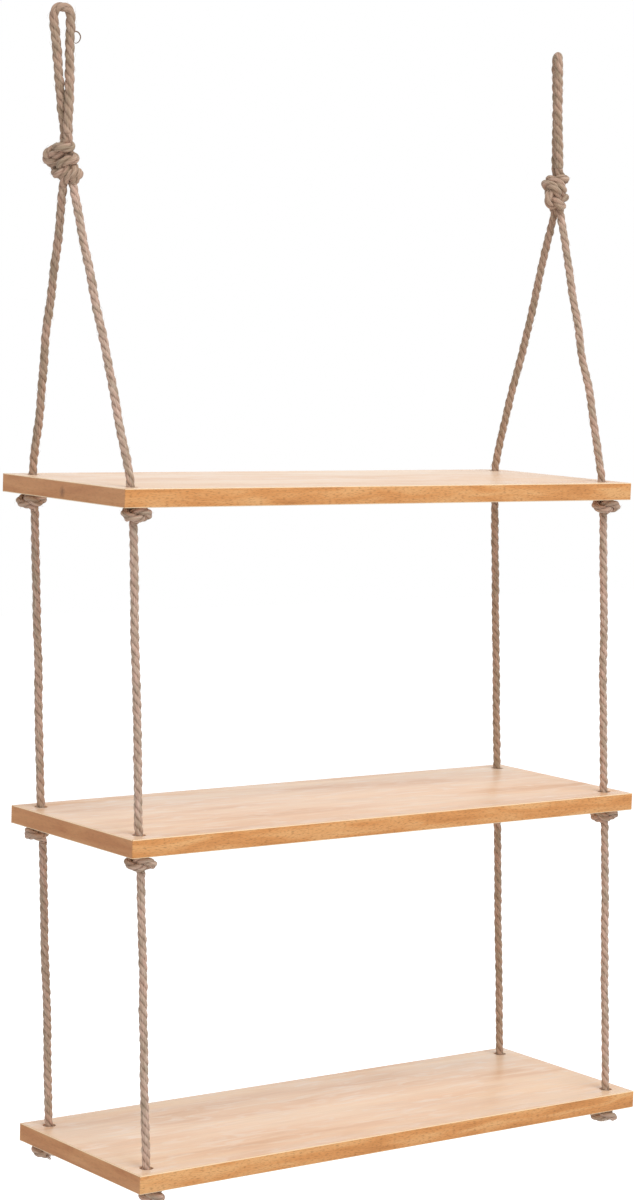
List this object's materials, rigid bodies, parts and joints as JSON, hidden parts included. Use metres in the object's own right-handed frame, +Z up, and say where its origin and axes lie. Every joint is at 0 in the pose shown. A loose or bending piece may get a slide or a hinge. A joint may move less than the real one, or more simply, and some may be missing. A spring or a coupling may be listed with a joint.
{
  "type": "hanging rope shelf",
  "caption": "Hanging shelf of level wooden boards strung on knotted rope, with loops at the top for two hooks and stop knots that the boards rest on.",
  "frame": {"origin": "inside top of the left hanging loop, where the left hook carries the shelf", "axes": "+Z up, +X along the boards from the left loop to the right loop, +Y from the front edges to the rear edges"},
  "size_m": [0.6469, 0.219, 1.0785],
  "materials": {
    "veneer_faces": "satin lacquered wood veneer on particle board",
    "edge_bands": "satin lacquered veneer strip",
    "jute_rope": "rough three-strand jute rope"
  },
  "bodies": {
    "root": {"left_hanging_loop": "jute_rope", "right_hanging_loop": "jute_rope", "left_loop_knot_front_strand": "jute_rope", "left_loop_knot_rear_strand": "jute_rope", "right_loop_knot_front_strand": "jute_rope", "right_loop_knot_rear_strand": "jute_rope", "front_left_leg": "jute_rope", "rear_left_leg": "jute_rope", "front_right_leg": "jute_rope", "rear_right_leg": "jute_rope", "top_board_panel": "veneer_faces", "top_board_front_edge_band": "edge_bands", "top_board_rear_edge_band": "edge_bands", "top_board_left_edge_band": "edge_bands", "top_board_right_edge_band": "edge_bands", "top_front_left_stop_knot": "jute_rope", "top_rear_left_stop_knot": "jute_rope", "top_front_right_stop_knot": "jute_rope", "top_rear_right_stop_knot": "jute_rope"},
    "middle_knots": {"middle_front_left_stop_knot": "jute_rope", "middle_rear_left_stop_knot": "jute_rope", "middle_front_right_stop_knot": "jute_rope", "middle_rear_right_stop_knot": "jute_rope", "front_left_upper_rope": "jute_rope", "rear_left_upper_rope": "jute_rope", "front_right_upper_rope": "jute_rope", "rear_right_upper_rope": "jute_rope"},
    "middle_board": {"middle_board_panel": "veneer_faces", "middle_board_front_edge_band": "edge_bands", "middle_board_rear_edge_band": "edge_bands", "middle_board_left_edge_band": "edge_bands", "middle_board_right_edge_band": "edge_bands"},
    "bottom_knots": {"bottom_front_left_stop_knot": "jute_rope", "bottom_rear_left_stop_knot": "jute_rope", "bottom_front_right_stop_knot": "jute_rope", "bottom_rear_right_stop_knot": "jute_rope", "front_left_lower_rope": "jute_rope", "rear_left_lower_rope": "jute_rope", "front_right_lower_rope": "jute_rope", "rear_right_lower_rope": "jute_rope"},
    "bottom_board": {"bottom_board_panel": "veneer_faces", "bottom_board_front_edge_band": "edge_bands", "bottom_board_rear_edge_band": "edge_bands", "bottom_board_left_edge_band": "edge_bands", "bottom_board_right_edge_band": "edge_bands"}
  },
  "joints": [
    {"name": "middle_sway", "type": "slide", "parent": "root", "child": "middle_knots", "axis": [0, 1, 0], "range_m": [-0.04, 0.04], "stiffness_N_per_m": 85, "deforming": ["front_left_upper_rope", "rear_left_upper_rope", "front_right_upper_rope", "rear_right_upper_rope"]},
    {"name": "middle_board_lift", "type": "slide", "parent": "middle_knots", "child": "middle_board", "axis": [-0.045, 0.0225, 0.9987], "range_m": [0, 0.265]},
    {"name": "bottom_sway", "type": "slide", "parent": "middle_knots", "child": "bottom_knots", "axis": [0, 1, 0], "range_m": [-0.04, 0.04], "stiffness_N_per_m": 42, "deforming": ["front_left_lower_rope", "rear_left_lower_rope", "front_right_lower_rope", "rear_right_lower_rope"]},
    {"name": "bottom_board_lift", "type": "slide", "parent": "bottom_knots", "child": "bottom_board", "axis": [-0.0458, 0.0229, 0.9987], "range_m": [0, 0.258]}
  ]
}
